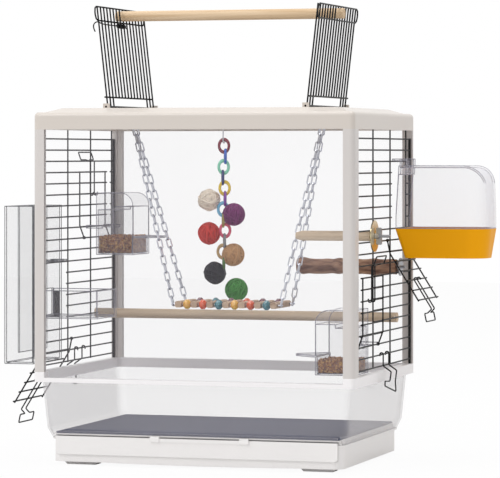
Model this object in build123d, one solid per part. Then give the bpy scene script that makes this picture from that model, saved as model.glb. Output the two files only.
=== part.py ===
from build123d import *
import math
import os

# A small-bird cage with clear front and rear sheets, wire sides, a clear tub over a
# pull-out tray, and two wire gates that stand on the roof as a play stand.
# Millimetres. X runs to the right, Y to the rear, Z up from the underside of the feet.
# Everything is placed from the cage's own middle and moved sideways once, at the end.

# Cage body
cage_width = 466.0
cage_depth = 336.8
post_width = 16.0
post_depth = 23.4
post_flange = 8.4
post_corner = 7.0
roof_bottom = 470.7
roof_face_height = 24.3
roof_edge_fillet = 6.0
roof_crown_rise = 6.0
roof_crown_inset = 30.0
roof_wall = 3.0
roof_opening_width = 294.0
roof_opening_depth = 204.0
roof_opening_corner = 8.0
collar_wall = 4.0
collar_drop = 4.0
rim_bottom = 117.0
rim_height = 14.0
front_rim_height = 6.0
rim_width = 11.0
clear_thickness = 2.5
panel_inset = 2.6
panel_slot_depth = 4.0
face_gap = 0.3

# Tub, plinth, feet and drawer
tub_wall = 2.5
tub_top_width = 451.0
tub_top_depth = 326.0
tub_bend_height = 14.0
tub_bend_width = 440.0
tub_bend_depth = 316.0
tub_foot_width = 428.0
tub_foot_depth = 304.0
tub_corner = 15.0
plinth_bottom = 5.0
plinth_height = 33.0
plinth_width = 422.0
plinth_depth = 300.0
plinth_wall = 3.0
plinth_lip = 2.0
plinth_skirt = 10.0
foot_length = 50.0
foot_width = 22.0
foot_spread = 346.0
foot_row_spread = 250.0
foot_chamfer = 4.0
drawer_width = 410.0
drawer_front_thickness = 3.0
drawer_front_corner = 5.0
drawer_gap = 0.4
tray_width = 414.0
tray_depth = 294.0
tray_thickness = 2.0
tray_top = 44.5
tray_skirt = 2.0
liner_thickness = 2.5
liner_margin = 1.5
drawer_window_height = 7.5
catch_width = 13.0
catch_height = 5.0
catch_left_middle = -58.0
catch_right_middle = 72.0

# Side wire panels
wire_radius = 1.1
edge_wire_radius = 2.0
weld = 0.2
wire_plane = 229.0
wire_pitch = 16.0
wire_rows = 21
lowest_wire = 138.0
panel_front_edge = -153.0
panel_rear_edge = 155.5
inner_upright_low = -45.8
inner_upright_high = 49.5
outer_upright_low = -141.0
outer_upright_high = 140.8
upper_hinge_row = 11
lower_hinge_row = 2
door_rows = 6

# Side doors and their latches
door_width = 111.4
upper_door_front = 27.0
lower_door_front = -135.6
door_stand_off = 7.0
door_kink_length = 18.0
hinge_clearance = 0.08
hinge_eye_wall = 1.1
door_open_angle = 148.0
latch_radius = 1.0
latch_spacing = 17.5
latch_row = 4
latch_reach = 48.0
latch_lean = 8.0
latch_handle_length = 54.0
latch_handle_height = 13.0
latch_bend = 1.9
base_latch_front = -6.0
base_latch_rear = 25.0
base_latch_bulge = 11.0

# Roof gates and the perch between them
gate_wires = 16
gate_wire_radius = 1.2
gate_wire_pitch = 13.33
gate_hinge_x = 146.5
gate_hinge_height = 503.4
gate_rod_radius = 1.5
gate_rod_length = 213.0
gate_lean = 6.5
gate_foot_wires = 3
gate_cross_height = 14.0
gate_loop_bottom = 123.6
gate_loop_top = 143.5
gate_loop_side_margin = 5.0
gate_loop_corner = 8.0
lug_thickness = 4.0
lug_width = 9.0
lug_gap = 1.5
top_perch_radius = 7.5
top_perch_length = 342.0
top_perch_height = 636.0
top_perch_slot = 24.0
slot_clearance = 0.25

# Perches
long_perch_radius = 7.0
long_perch_y = 80.0
long_perch_row = 4
short_perch_radius = 7.0
short_perch_length = 108.0
short_perch_y = -53.0
short_perch_height = 322.0
short_perch_taper = 9.0
natural_perch_radius = 11.0
natural_perch_length = 148.0
natural_perch_y = 94.0
natural_perch_height = 274.0
natural_knob_rise = 1.18
natural_perch_flats = 16
bolt_radius = 2.0
nut_clearance = 0.06
big_washer_radius = 22.0
small_washer_radius = 13.0
washer_thickness = 1.6
perch_bolt_length = 24.0
natural_bolt_length = 8.0
wing_span = 24.0

# Seed feeders on the side panels
feeder_depth_x = 57.0
feeder_width_y = 73.0
feeder_cup_height = 41.0
feeder_hood_height = 50.0
feeder_wall = 2.0
feeder_lip_reach = 38.0
feeder_lip_height = 14.0
feeder_hook_gap = 0.4
feeder_stand_off = 16.0
feeder_seed_level = 29.0
upper_feeder_middle = 71.0
upper_feeder_row = 12
lower_feeder_middle = -55.0
lower_feeder_row = 2

# Bath outside the right upper opening
bath_reach = 368.0
bath_width = 88.0
bath_middle = 94.9
bath_bottom = 288.0
bath_base_height = 42.0
bath_dome_height = 90.0
bath_wall = 2.5
bath_lip_drop = 0.9
bath_inner_x = 233.0
bath_inset = 6.0
bath_door_inset = 13.0
bath_shoulder = 30.0
bath_end_corner = 30.0

# Hopper outside the left lower opening
hopper_reach = 290.0
hopper_inner_x = 246.0
hopper_width = 114.0
hopper_middle = -77.5
hopper_bottom = 139.0
hopper_height = 224.0
hopper_wall = 2.0
hopper_tray_width = 84.0
hopper_tray_middle = -93.0
hopper_tray_end = 150.0
hopper_tray_bottom = 204.0
hopper_tray_height = 40.0

# Swing
swing_pivot_height = 482.0
swing_hook_x = 141.0
swing_hook_radius = 1.5
swing_left = -72.0
swing_right = 88.0
swing_depth = 74.0
swing_height = 222.0
swing_wire_spread = 60.0
swing_wire_radius = 1.2
bead_radius = 7.0
bead_hole = 1.45
bead_flats = 12
slat_thickness = 9.0
slat_width = 9.0
bead_count = 6
chain_wire = 1.6
chain_link_width = 4.8
chain_clearance = 0.3
chain_links = 22
chain_ring_radius = 5.2
chain_ring_spread = 3.0

# Toy of vine balls
toy_y = 96.0
toy_x = -36.0
toy_hook_height = 478.0
toy_string_radius = 1.2
vine_radius = 17.5
vine_bands = 9
vine_flats = 14


def block(x_range, y_range, z_range):
    """A plain block between two limits on each axis."""
    size = [high - low for low, high in (x_range, y_range, z_range)]
    middle = [(high + low) / 2 for low, high in (x_range, y_range, z_range)]
    return Pos(*middle) * Box(*size)


def slab(width, depth, corner, low, high):
    """A level slab with rounded corners about the cage's middle."""
    return Pos(0, 0, low) * extrude(RectangleRounded(width, depth, corner), high - low)


def taper(low, high, low_size, high_size, corner):
    """A tapered block between two rounded rectangles."""
    bottom = Pos(0, 0, low) * RectangleRounded(*low_size, corner)
    top = Pos(0, 0, high) * RectangleRounded(*high_size, corner)
    return loft([bottom.face(), top.face()], ruled=True)


def rod(start, end, radius):
    """A straight round bar."""
    axis = Vector(*end) - Vector(*start)
    return extrude(Plane(origin=start, z_dir=axis) * Circle(radius), axis.length)


def wire(start, end, radius):
    """A straight wire, drawn with eight flats."""
    axis = Vector(*end) - Vector(*start)
    section = Plane(origin=start, z_dir=axis) * RegularPolygon(radius, 8)
    return extrude(section, axis.length)


def round_corner(before, corner, after, bend):
    """Three points on the arc that rounds one corner of a path."""
    back = (before - corner).normalized()
    ahead = (after - corner).normalized()
    half_angle = math.acos(back.dot(ahead)) / 2
    cut = bend / math.tan(half_angle)
    centre = corner + (back + ahead).normalized() * (bend / math.sin(half_angle))
    middle = centre + (corner - centre).normalized() * bend
    return [corner + back * cut, middle, corner + ahead * cut]


def bent_wire(points, radius, bend, sides=6, closed=False):
    """A wire bent round its corners, each bend drawn as two short straight steps."""
    places = [Vector(*point) for point in points]
    last = len(places) - 1
    route = [(places[last] + places[0]) * 0.5] if closed else []
    for index, corner in enumerate(places):
        if closed or 0 < index < last:
            after = places[(index + 1) % len(places)]
            route += round_corner(places[index - 1], corner, after, bend)
        else:
            route.append(corner)
    path = Polyline(*route, close=closed)
    section = (path ^ 0) * RegularPolygon(radius, sides)
    return sweep(section, path=path, transition=Transition.RIGHT)


def tube_along_y(middle, length, outer, inner):
    """A short tube whose axis runs from front to rear."""
    plane = Plane(origin=(middle[0], middle[1] - length / 2, middle[2]), z_dir=(0, 1, 0))
    return extrude(plane * (Circle(outer) - Circle(inner)), length)


def group(shapes):
    """Separate solids kept together as one sub-part."""
    solids = []
    for shape in shapes:
        solids.extend(shape.solids())
    return Compound(solids)


def to_left(shape):
    """The same piece on the left side of the cage."""
    return mirror(shape, about=Plane.YZ)


def turned(shape, x, z, angle):
    """A piece turned about a line from front to rear."""
    return shape.rotate(Axis((x, 0, z), (0, 1, 0)), angle)


# Levels and planes that follow from the driving dimensions
half_width = cage_width / 2
half_depth = cage_depth / 2
rim_top = rim_bottom + rim_height
front_rim_top = rim_bottom + front_rim_height
roof_face_top = roof_bottom + roof_face_height
roof_deck = roof_face_top + roof_crown_rise
plinth_top = plinth_bottom + plinth_height
tub_bend = plinth_top + tub_bend_height
drawer_face_y = -plinth_depth / 2
door_plane = wire_plane + door_stand_off
door_cross_plane = door_plane - 2 * wire_radius + weld


def wire_height(row):
    """Height of a side wire, counted up from the lowest."""
    return lowest_wire + row * wire_pitch


# Roof: a hollow moulded frame with a collar round its opening
def make_roof():
    outer = slab(cage_width, cage_depth, post_corner, roof_bottom, roof_face_top)
    outer = fillet(outer.edges().group_by(Axis.Z)[-1], roof_edge_fillet)
    inset = 2 * roof_edge_fillet
    crown_base = (cage_width - inset, cage_depth - inset)
    crown_top = (cage_width - 2 * roof_crown_inset, cage_depth - 2 * roof_crown_inset)
    crown_start = roof_face_top - roof_wall / 2
    outer += taper(crown_start, roof_deck, crown_base, crown_top, post_corner)
    hollow_width = cage_width - 2 * post_width
    hollow_depth = cage_depth - 2 * post_depth
    hollow_top = roof_face_top - roof_wall
    hollow = slab(hollow_width, hollow_depth, post_corner, roof_bottom, hollow_top)
    collar_width = roof_opening_width + 2 * collar_wall
    collar_depth = roof_opening_depth + 2 * collar_wall
    collar_corner = roof_opening_corner + collar_wall
    collar_low = roof_bottom + collar_drop
    hollow -= slab(collar_width, collar_depth, collar_corner, collar_low, hollow_top)
    opening = slab(
        roof_opening_width, roof_opening_depth, roof_opening_corner, roof_bottom, roof_deck
    )
    roof = outer - hollow - opening
    for x in (-gate_hinge_x, gate_hinge_x):
        for y in (-1, 1):
            roof += make_lug(x, y * (roof_opening_depth / 2 + lug_gap + lug_thickness / 2))
    return roof


def make_lug(x, y):
    """A bearing for one end of a gate's hinge rod."""
    lug_top = gate_hinge_height + lug_width / 2
    lug = block(
        (x - lug_width / 2, x + lug_width / 2),
        (y - lug_thickness / 2, y + lug_thickness / 2),
        (roof_deck - roof_wall / 2, lug_top),
    )
    hole_radius = gate_rod_radius + nut_clearance
    start = (x, y - lug_thickness, gate_hinge_height)
    end = (x, y + lug_thickness, gate_hinge_height)
    return lug - rod(start, end, hole_radius)


# Corner posts: angle sections with a slot for the clear sheet and a seat for the wire panel
def make_post(side, face):
    inner_x = half_width - post_width
    inner_y = half_depth - post_depth
    profile = Pos(half_width - post_width / 2, half_depth - post_depth / 2) * Rectangle(
        post_width, post_depth
    )
    outer_corner = profile.vertices().sort_by(lambda v: v.X + v.Y)[-1]
    profile = fillet(outer_corner, post_corner)
    sheet_y = half_depth - panel_inset - clear_thickness / 2
    slot_height = clear_thickness + 2 * face_gap
    slot_x = inner_x + panel_slot_depth / 2
    profile -= Pos(slot_x, sheet_y) * Rectangle(panel_slot_depth, slot_height)
    if face > 0:
        seat_edge = panel_rear_edge + edge_wire_radius + face_gap
    else:
        seat_edge = -panel_front_edge + edge_wire_radius + face_gap
    seat_depth = seat_edge - inner_y
    seat_inner = wire_plane - edge_wire_radius - 2 * wire_radius - face_gap
    seat_outer = half_width if face > 0 else wire_plane + edge_wire_radius + face_gap
    seat = Rectangle(seat_outer - seat_inner, seat_depth)
    profile -= Pos((seat_outer + seat_inner) / 2, inner_y + seat_depth / 2) * seat
    flange_y = half_depth - post_flange
    corner_gap = Rectangle(seat_inner - inner_x, flange_y - inner_y)
    profile -= Pos((seat_inner + inner_x) / 2, (flange_y + inner_y) / 2) * corner_gap
    post = Pos(0, 0, rim_top) * extrude(profile, roof_bottom - rim_top)
    if face < 0:
        post = mirror(post, about=Plane.XZ)
    return to_left(post) if side < 0 else post


# Rim between the tub and the panels, lower along the front
def make_rim():
    rim = slab(cage_width, cage_depth, post_corner, rim_bottom, rim_top)
    inner_width = cage_width - 2 * rim_width
    inner_depth = cage_depth - 2 * rim_width
    rim -= slab(inner_width, inner_depth, post_corner, rim_bottom, rim_top)
    step = half_width - post_width
    rim -= block((-step, step), (-half_depth, -half_depth + rim_width), (front_rim_top, rim_top))
    return rim


def make_sheet(face, low):
    """A clear sheet held by its edges in the posts."""
    half = half_width - post_width + panel_slot_depth - face_gap
    outer_y = half_depth - panel_inset
    y_range = (outer_y - clear_thickness, outer_y)
    if face < 0:
        y_range = (-outer_y, -outer_y + clear_thickness)
    foot = half_width - post_width - face_gap
    sheet = block((-half, half), y_range, (rim_top, roof_bottom))
    if low < rim_top:
        sheet += block((-foot, foot), y_range, (low, rim_top))
    return sheet


# Clear tub: tapered walls with a bent-in foot, and a gap in front for the tray
def make_tub():
    grow = 2 * tub_wall
    upper = taper(
        tub_bend,
        rim_bottom,
        (tub_bend_width, tub_bend_depth),
        (tub_top_width, tub_top_depth),
        tub_corner,
    )
    foot = taper(
        plinth_top,
        tub_bend,
        (tub_foot_width, tub_foot_depth),
        (tub_bend_width, tub_bend_depth),
        tub_corner,
    )
    upper_inside = taper(
        tub_bend,
        rim_bottom,
        (tub_bend_width - grow, tub_bend_depth - grow),
        (tub_top_width - grow, tub_top_depth - grow),
        tub_corner - tub_wall,
    )
    foot_inside = taper(
        plinth_top,
        tub_bend,
        (tub_foot_width - grow, tub_foot_depth - grow),
        (tub_bend_width - grow, tub_bend_depth - grow),
        tub_corner - tub_wall,
    )
    tub = (upper + foot) - (upper_inside + foot_inside)
    pass_width = plinth_width / 2 - plinth_wall / 2 + face_gap
    pass_top = plinth_top + tub_bend_height - drawer_gap
    tub -= block((-pass_width, pass_width), (-half_depth, 0), (plinth_top, pass_top))
    return tub


# Plinth: a white moulding, open in front for the drawer, with a bowed skirt below it
def make_plinth():
    plinth = slab(plinth_width, plinth_depth, tub_corner, plinth_bottom, plinth_top)
    inner_width = plinth_width - 2 * plinth_wall
    inner_depth = plinth_depth - 2 * plinth_wall
    floor_top = plinth_bottom + plinth_wall
    plinth -= slab(inner_width, inner_depth, tub_corner - plinth_wall, floor_top, plinth_top)
    lip = slab(tub_foot_width, tub_foot_depth, tub_corner, plinth_top - plinth_lip, plinth_top)
    lip -= slab(inner_width, inner_depth, tub_corner - plinth_wall, plinth_bottom, plinth_top)
    plinth += lip
    mouth = drawer_width / 2 + drawer_gap
    skirt_top = plinth_bottom + plinth_skirt
    plinth -= block((-mouth, mouth), (-half_depth, -inner_depth / 2), (skirt_top, plinth_top))
    bow = foot_spread / 2 - foot_length / 2
    drop = plinth_bottom - plinth_wall / 2
    arc = ThreePointArc((-bow, plinth_bottom), (0, drop), (bow, plinth_bottom))
    chord = Line((bow, plinth_bottom), (-bow, plinth_bottom))
    front = Plane.XZ.offset(inner_depth / 2) * make_face(Curve() + [arc, chord])
    return plinth + extrude(front, plinth_wall)


def make_feet():
    feet = []
    for x in (-foot_spread / 2, foot_spread / 2):
        for y in (-foot_row_spread / 2, foot_row_spread / 2):
            foot = block(
                (x - foot_length / 2, x + foot_length / 2),
                (y - foot_width / 2, y + foot_width / 2),
                (0, plinth_bottom),
            )
            ends = foot.edges().filter_by(Axis.Y).group_by(Axis.Z)[0]
            feet.append(chamfer(ends, foot_chamfer))
    return group(feet)


# Drawer: a front with a clear upper strip, a tray on the plinth's edges and its liner
def make_drawer_front():
    low = plinth_bottom + plinth_skirt + drawer_gap
    high = plinth_top + drawer_front_thickness
    outer = Pos(0, (low + high) / 2) * Rectangle(drawer_width, high - low)
    outer = fillet(outer.vertices().group_by(Axis.Y)[0], drawer_front_corner)
    face_y = -drawer_face_y
    return extrude(Plane.XZ.offset(face_y) * outer, drawer_front_thickness)


def make_drawer_window():
    low = plinth_top + drawer_front_thickness
    top = low + drawer_window_height
    y_range = (drawer_face_y - drawer_front_thickness, drawer_face_y - drawer_gap)
    return block((-drawer_width / 2, drawer_width / 2), y_range, (low, top))


def make_tray():
    half = tray_width / 2
    rear = tray_depth / 2
    front = drawer_face_y
    plate_low = tray_top - tray_thickness
    tray = block((-half, half), (front, rear), (plate_low, tray_top))
    skirt_low = plinth_top + face_gap
    outer_edge = plinth_width / 2 - plinth_wall / 2
    for side in (-1, 1):
        edge = sorted((side * half, side * (half - tray_skirt)))
        tray += block(edge, (front + plinth_wall, rear - plinth_wall), (skirt_low, plate_low))
        shelf = sorted((side * (half - tray_skirt), side * outer_edge))
        shelf_range = (front + plinth_wall, rear - tub_corner)
        tray += block(shelf, shelf_range, (skirt_low, skirt_low + tray_skirt))
    return tray


def make_liner():
    half = tray_width / 2 - liner_margin
    rear = tray_depth / 2 - liner_margin
    front = drawer_face_y + liner_margin
    return block((-half, half), (front, rear), (tray_top, tray_top + liner_thickness))


def make_drawer_catches():
    outer_y = drawer_face_y - drawer_front_thickness
    top = plinth_top + drawer_front_thickness
    parts = []
    for x in (catch_left_middle, catch_right_middle):
        x_range = (x - catch_width / 2, x + catch_width / 2)
        y_range = (outer_y - drawer_front_thickness, outer_y)
        catch = block(x_range, y_range, (top - catch_height, top + drawer_front_thickness))
        front_edges = catch.edges().filter_by(Axis.X).group_by(Axis.Y)[0]
        parts.append(fillet(front_edges, drawer_front_thickness / 3))
    bar_left = catch_left_middle + catch_width / 2
    bar_right = catch_right_middle - catch_width / 2
    bar_y = (outer_y - drawer_front_thickness / 2, outer_y)
    parts.append(block((bar_left, bar_right), bar_y, (top - catch_height, top)))
    return group(parts)


# Side wire panel, drawn on the right: level wires welded to uprights on their inner side
def make_wire_panel():
    wires = []
    upright_plane = wire_plane - 2 * wire_radius + weld
    upper_rows = range(upper_hinge_row + 2, upper_hinge_row + door_rows + 1)
    lower_rows = range(lower_hinge_row + 2, lower_hinge_row + door_rows + 1)
    top_row = wire_rows - 1
    for row in range(wire_rows):
        z = wire_height(row)
        spans = [(panel_front_edge, panel_rear_edge)]
        if row in upper_rows:
            upper_hole = (inner_upright_high, outer_upright_high)
            spans = [(panel_front_edge, upper_hole[0]), (upper_hole[1], panel_rear_edge)]
        if row in lower_rows:
            lower_hole = (outer_upright_low, inner_upright_low)
            spans = [(panel_front_edge, lower_hole[0]), (lower_hole[1], panel_rear_edge)]
        for front, rear in spans:
            wires.append(wire((wire_plane, front, z), (wire_plane, rear, z), wire_radius))
    low = wire_height(0) - wire_radius
    high = roof_bottom
    upper_low = wire_height(upper_hinge_row) - wire_radius
    lower_high = wire_height(lower_hinge_row + door_rows + 1) + wire_radius
    uprights = [
        (inner_upright_low, low, high),
        (inner_upright_high, low, high),
        (outer_upright_high, upper_low, high),
        (outer_upright_low, low, lower_high),
    ]
    for y, bottom, top in uprights:
        wires.append(wire((upright_plane, y, bottom), (upright_plane, y, top), wire_radius))
    edge_low = rim_top
    for y in (panel_front_edge, panel_rear_edge):
        top = wire_height(top_row) + wire_radius
        wires.append(wire((wire_plane, y, edge_low), (wire_plane, y, top), edge_wire_radius))
    return group(wires)


# Side door, drawn closed on the right: two kinked side wires that turn on a panel wire
def make_door(front, hinge_row):
    hinge_z = wire_height(hinge_row)
    top_z = wire_height(hinge_row + door_rows)
    hole = wire_radius + hinge_clearance
    eye = hole + hinge_eye_wall
    wires = []
    for y in (front + wire_radius, front + door_width - wire_radius):
        points = [
            (wire_plane + eye - wire_radius, y, hinge_z),
            (wire_plane + eye - wire_radius, y, hinge_z + eye),
            (door_plane, y, hinge_z + door_kink_length),
            (door_plane, y, top_z + wire_radius),
        ]
        side = bent_wire(points, wire_radius, eye / 2)
        side += tube_along_y((wire_plane, y, hinge_z), 2 * wire_radius, eye, hole / 2)
        bore_start = (wire_plane, y - eye, hinge_z)
        side -= rod(bore_start, (wire_plane, y + eye, hinge_z), hole)
        wires.append(side)
    for row in range(1, door_rows + 1):
        z = wire_height(hinge_row + row)
        start = (door_cross_plane, front, z)
        end = (door_cross_plane, front + door_width, z)
        if row == 1:
            kink_plane = wire_plane + door_stand_off * (row * wire_pitch) / door_kink_length
            start = (kink_plane - 2 * wire_radius + weld, front, z)
            end = (kink_plane - 2 * wire_radius + weld, front + door_width, z)
        wires.append(wire(start, end, wire_radius))
    return group(wires)


# Door latch: one wire, hooked on a door wire, with a long flat loop for the finger
def make_door_latch(front, hinge_row):
    middle = front + door_width / 2
    pivot_z = wire_height(hinge_row + latch_row)
    hook = wire_radius + face_gap + latch_radius
    inner = door_cross_plane - hook
    outer = door_cross_plane + hook
    top = pivot_z + latch_reach
    ya = middle - latch_spacing / 2
    yb = middle + latch_spacing / 2
    loop_x = outer + latch_lean
    loop_front = middle - latch_handle_length / 2
    loop_rear = middle + latch_handle_length / 2
    loop_top = top + latch_handle_height
    points = [
        (inner, ya, pivot_z + hook),
        (inner, ya, pivot_z - hook),
        (outer, ya, pivot_z - hook),
        (outer, ya, top),
        (loop_x, ya, top + latch_bend),
        (loop_x, loop_front, top + latch_bend),
        (loop_x + latch_lean / 2, loop_front, loop_top),
        (loop_x + latch_lean / 2, loop_rear, loop_top),
        (loop_x, loop_rear, top + latch_bend),
        (loop_x, yb, top + latch_bend),
        (outer, yb, top),
        (outer, yb, pivot_z - hook),
        (inner, yb, pivot_z - hook),
        (inner, yb, pivot_z + hook),
    ]
    return bent_wire(points, latch_radius, latch_bend)


# Base latch: hangs on a panel wire, bulges over the rim and ends in a slanted loop
def make_base_latch():
    pivot_z = wire_height(1)
    hook = wire_radius + face_gap + latch_radius
    inner = wire_plane - hook
    outer = wire_plane + hook
    bulge = half_width + base_latch_bulge - latch_radius
    low = rim_bottom - face_gap
    handle_x = bulge - latch_bend
    points = [
        (inner, base_latch_front, pivot_z - hook),
        (inner, base_latch_front, pivot_z + hook),
        (outer, base_latch_front, pivot_z + hook),
        (outer, base_latch_front, pivot_z - wire_pitch),
        (bulge, base_latch_front, rim_top - latch_radius),
        (handle_x, base_latch_front, low),
        (handle_x, base_latch_front - latch_handle_length / 2, low + latch_bend),
        (handle_x, base_latch_front - latch_handle_length / 2, low - 2 * hook),
        (handle_x, base_latch_rear + 2 * latch_bend, low - 9 * latch_bend),
        (handle_x, base_latch_rear, low - hook),
        (bulge, base_latch_rear, rim_top - latch_radius),
        (outer, base_latch_rear, pivot_z - wire_pitch),
        (outer, base_latch_rear, pivot_z + hook),
        (inner, base_latch_rear, pivot_z + hook),
        (inner, base_latch_rear, pivot_z - hook),
    ]
    return bent_wire(points, latch_radius, latch_bend)


# Roof gate, drawn upright on the right and then leaned outward about its hinge rod
def make_gate():
    x = gate_hinge_x
    base = gate_hinge_height
    half_span = (gate_wires - 1) * gate_wire_pitch / 2
    rod_half = gate_rod_length / 2
    parts = [rod((x, -rod_half, base), (x, rod_half, base), gate_rod_radius)]
    foot_start = base + gate_rod_radius - weld
    cross_z = base + gate_cross_height
    for index in range(gate_wires):
        y = -half_span + index * gate_wire_pitch
        at_end = min(index, gate_wires - 1 - index) < gate_foot_wires
        bottom = foot_start if at_end else cross_z - gate_wire_radius
        top = base + gate_loop_top
        parts.append(wire((x, y, bottom), (x, y, top), gate_wire_radius))
    cross_x = x + 2 * gate_wire_radius - weld
    cross_end = half_span + gate_wire_radius
    start = (cross_x, -cross_end, cross_z)
    parts.append(wire(start, (cross_x, cross_end, cross_z), gate_wire_radius))
    parts.append(make_gate_loop(cross_x, base, half_span + gate_loop_side_margin))
    return turned(group(parts), x, base, gate_lean)


def make_gate_loop(x, base, half):
    """The closed wire round the head of a gate."""
    low = base + gate_loop_bottom
    high = base + gate_loop_top
    corners = [(x, -half, low), (x, half, low), (x, half, high), (x, -half, high)]
    return bent_wire(corners, gate_wire_radius, gate_loop_corner, closed=True)


# The perch between the gates: both ends are slotted over a gate wire
def make_top_perch():
    y = gate_wire_pitch / 2
    half = top_perch_length / 2
    z = top_perch_height
    perch = rod((-half, y, z), (half, y, z), top_perch_radius)
    slot_half = gate_wire_radius + slot_clearance
    for side in (-1, 1):
        x_range = sorted((side * (half - top_perch_slot), side * (half + slot_half)))
        z_range = (z - top_perch_radius - slot_half, z + top_perch_radius + slot_half)
        perch -= block(x_range, (y - slot_half, y + slot_half), z_range)
    return perch


# Long perch: slotted ends that grip one level wire on each side panel
def make_long_perch():
    z = wire_height(long_perch_row)
    half = wire_plane + wire_radius
    perch = rod((-half, long_perch_y, z), (half, long_perch_y, z), long_perch_radius)
    slot_half = wire_radius + slot_clearance
    slot = long_perch_radius
    for side in (-1, 1):
        x_range = sorted((side * (half - slot), side * (half + slot_half)))
        y_range = (long_perch_y - slot, long_perch_y + slot)
        perch -= block(x_range, y_range, (z - slot_half, z + slot_half))
    return perch


def perch_seat():
    """Where a bolted perch meets the inner side of the panel's uprights."""
    return wire_plane - 3 * wire_radius + weld - face_gap


def make_short_perch():
    end = perch_seat()
    start = end - short_perch_length
    y = short_perch_y
    z = short_perch_height
    perch = rod((start, y, z), (end, y, z), short_perch_radius)
    tip = perch.edges().group_by(Axis.X)[0]
    perch = chamfer(tip, short_perch_taper, short_perch_radius / 3)
    return perch - rod((end - bolt_radius * 4, y, z), (end, y, z), bolt_radius + nut_clearance)


def make_natural_perch():
    end = perch_seat()
    start = end - natural_perch_length
    y = natural_perch_y
    z = natural_perch_height
    steps = 8
    sections = []
    for index in range(steps + 1):
        x = start + natural_perch_length * index / steps
        knob = natural_knob_rise if index % 3 == 1 else 1.0
        plane = Plane(origin=(x, y, z), z_dir=(1, 0, 0))
        outline = RegularPolygon(natural_perch_radius * knob, natural_perch_flats)
        sections.append((plane * outline).face())
    branch = loft(sections, ruled=True)
    return branch - rod((end - bolt_radius * 4, y, z), (end, y, z), bolt_radius + nut_clearance)


def make_washer(y, z, radius):
    plane = Plane(origin=(wire_plane + wire_radius + face_gap, y, z), z_dir=(1, 0, 0))
    ring = Circle(radius) - Circle(bolt_radius + nut_clearance)
    return extrude(plane * ring, washer_thickness)


def make_bolt(y, z, length):
    start = perch_seat() - bolt_radius * 4
    end = wire_plane + wire_radius + length
    return rod((start, y, z), (end, y, z), bolt_radius)


def make_wing_nut():
    y = short_perch_y
    z = short_perch_height
    start = wire_plane + wire_radius + 2 * face_gap + washer_thickness
    hub_radius = bolt_radius * 2
    hub_length = hub_radius * 1.5
    nut = rod((start, y, z), (start + hub_length, y, z), hub_radius)
    wing = RectangleRounded(wing_span, hub_length * 1.4, hub_radius / 2)
    plane = Plane(
        origin=(start + hub_length * 0.9, y - bolt_radius / 2, z),
        x_dir=(0, 0, 1),
        z_dir=(0, 1, 0),
    )
    nut += extrude(plane * wing, bolt_radius)
    return nut - rod((start - 1, y, z), (start + wing_span, y, z), bolt_radius + nut_clearance)


# Hooded seed feeder, drawn on the right: cup, hood, round perch lip and side arms
def make_feeder(middle, row):
    back = wire_plane - feeder_stand_off
    front = back - feeder_depth_x
    half = feeder_width_y / 2
    arm_z = wire_height(row)
    bottom = arm_z - feeder_cup_height
    cup_top = arm_z
    hood_top = cup_top + feeder_hood_height
    y_range = (middle - half, middle + half)
    body = block((front, back), y_range, (bottom, hood_top))
    top_edge = body.edges().filter_by(Axis.Y).group_by(Axis.Z)[-1].sort_by(Axis.X)[0]
    body = fillet(top_edge, feeder_depth_x / 3)
    wall = feeder_wall
    inner_x = (front + wall, back - wall)
    inner_y = (middle - half + wall, middle + half - wall)
    body -= block(inner_x, inner_y, (bottom + wall, cup_top + feeder_hood_height / 2))
    mouth_x = (front - wall, back - feeder_depth_x / 2)
    mouth_z = (cup_top - feeder_lip_height, cup_top + feeder_hood_height * 0.6)
    body -= block(mouth_x, inner_y, mouth_z)
    lip_z = cup_top - feeder_lip_height
    lip_end = front - feeder_lip_reach
    lip_front = Pos(lip_end + half / 2, middle) * Circle(half / 2)
    lip_rear = Pos(front - 1, middle) * Rectangle(2, feeder_width_y)
    lip = make_hull((lip_front + lip_rear).edges())
    body += Pos(0, 0, lip_z - wall) * extrude(lip, wall)
    for side in (-1, 1):
        arm_y = sorted((middle + side * half, middle + side * (half + 2 * wall)))
        arm_x = (back - 5 * wall, wire_plane - wire_radius - feeder_hook_gap)
        body += block(arm_x, arm_y, (arm_z - wall, arm_z + wall))
    return body


def make_seed(middle, row):
    wall = feeder_wall
    back = wire_plane - feeder_stand_off
    front = back - feeder_depth_x
    half = feeder_width_y / 2 - wall
    bottom = wire_height(row) - feeder_cup_height + wall
    x_range = (front + wall, back - wall)
    top = bottom + feeder_seed_level - feeder_lip_height / 2
    return block(x_range, (middle - half, middle + half), (bottom, top))


# Bath: a yellow pan under a clear dome, hung on the wire over the door opening
def pan_section(z, left, right, margin):
    """A level outline of the bath between two planes, less a margin all round."""
    width = right - left - 2 * margin
    depth = bath_width - 2 * margin
    if z < bath_bottom + bath_base_height / 2:
        depth -= 2 * bath_inset
    middle_x = (left + right) / 2
    outline = Rectangle(width, depth)
    outline = fillet(outline.vertices().group_by(Axis.X)[-1], bath_end_corner - margin)
    outline = fillet(outline.vertices().group_by(Axis.X)[0], bath_inset - margin)
    return (Pos(middle_x, bath_middle, z) * outline).face()


def make_bath_base():
    top = bath_bottom + bath_base_height
    left = bath_inner_x + bath_door_inset
    right = bath_reach - bath_inset
    outer_low = pan_section(bath_bottom, left, right, 0)
    outer_high = pan_section(top, bath_inner_x, bath_reach, 0)
    inner_low = pan_section(bath_bottom + bath_wall, left, right, bath_wall)
    inner_high = pan_section(top, bath_inner_x, bath_reach, bath_wall)
    pan = loft([outer_low, outer_high], ruled=True)
    return pan - loft([inner_low, inner_high], ruled=True)


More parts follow.
